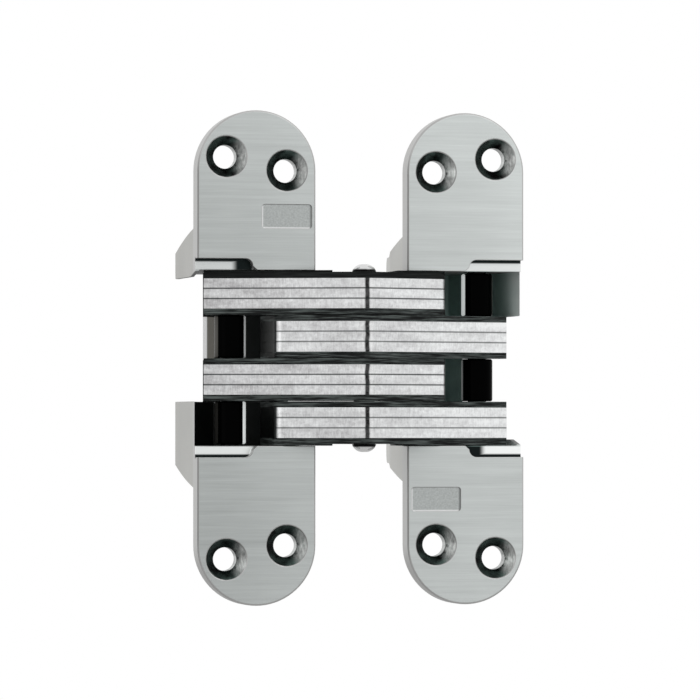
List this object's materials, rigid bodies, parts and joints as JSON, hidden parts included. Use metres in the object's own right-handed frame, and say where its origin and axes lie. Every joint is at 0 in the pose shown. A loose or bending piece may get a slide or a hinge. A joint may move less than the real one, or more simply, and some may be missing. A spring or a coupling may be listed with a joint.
{
  "type": "concealed door hinge",
  "caption": "Concealed door hinge: two round-ended cast leaves joined by crossing laminated links that fold into their housings.",
  "frame": {"origin": "middle of the whole hinge in its open position, halfway between the leaves and at mid depth", "axes": "+Z along the pins, +X from the fixed leaf to the swing leaf, the face plates look along -Y"},
  "size_m": [0.0796, 0.0462, 0.1174],
  "materials": {
    "cast_satin": "satin chrome on cast metal, brushed across the face",
    "plate_steel": "bright sheared edges",
    "cover_dark": "black oxide, satin",
    "roller_black": "polished black",
    "pin_steel": "polished steel"
  },
  "bodies": {
    "fixed": {"fixed_leaf": "cast_satin", "fixed_pivot_pin": "pin_steel"},
    "link_two": {"row2_cover_upper": "cover_dark", "row2_plate_upper": "plate_steel", "row2_plate_middle": "plate_steel", "row2_plate_lower": "plate_steel", "row2_cover_lower": "cover_dark", "row4_cover_upper": "cover_dark", "row4_plate_upper": "plate_steel", "row4_plate_middle": "plate_steel", "row4_plate_lower": "plate_steel", "row4_cover_lower": "cover_dark", "centre_pin": "pin_steel", "swing_slide_pin": "pin_steel", "row1_roller": "roller_black", "row3_roller": "roller_black"},
    "link_one": {"row1_cover_upper": "cover_dark", "row1_plate_upper": "plate_steel", "row1_plate_middle": "plate_steel", "row1_plate_lower": "plate_steel", "row1_cover_lower": "cover_dark", "row3_cover_upper": "cover_dark", "row3_plate_upper": "plate_steel", "row3_plate_middle": "plate_steel", "row3_plate_lower": "plate_steel", "row3_cover_lower": "cover_dark", "fixed_slide_pin": "pin_steel", "row2_roller": "roller_black", "row4_roller": "roller_black"},
    "swing": {"swing_leaf": "cast_satin", "swing_pivot_pin": "pin_steel"}
  },
  "joints": [
    {"name": "fold", "type": "hinge", "parent": "fixed", "child": "link_two", "pos_m": [-0.0171, 0.0014, 0], "axis": [0, 0, -1], "range_deg": [0, 82.12]},
    {"name": "cross", "type": "hinge", "parent": "link_two", "child": "link_one", "pos_m": [0, -0.0191, 0], "axis": [0, 0, -1], "range_deg": [0, 15.77]},
    {"name": "swing_turn", "type": "hinge", "parent": "link_one", "child": "swing", "pos_m": [0.0171, 0.0014, 0], "axis": [0, 0, -1], "range_deg": [0, 82.12]}
  ],
  "couplings": [
    {"joint": "cross", "follows": "fold", "ratio": 0.19199},
    {"joint": "swing_turn", "follows": "fold", "ratio": 1}
  ]
}
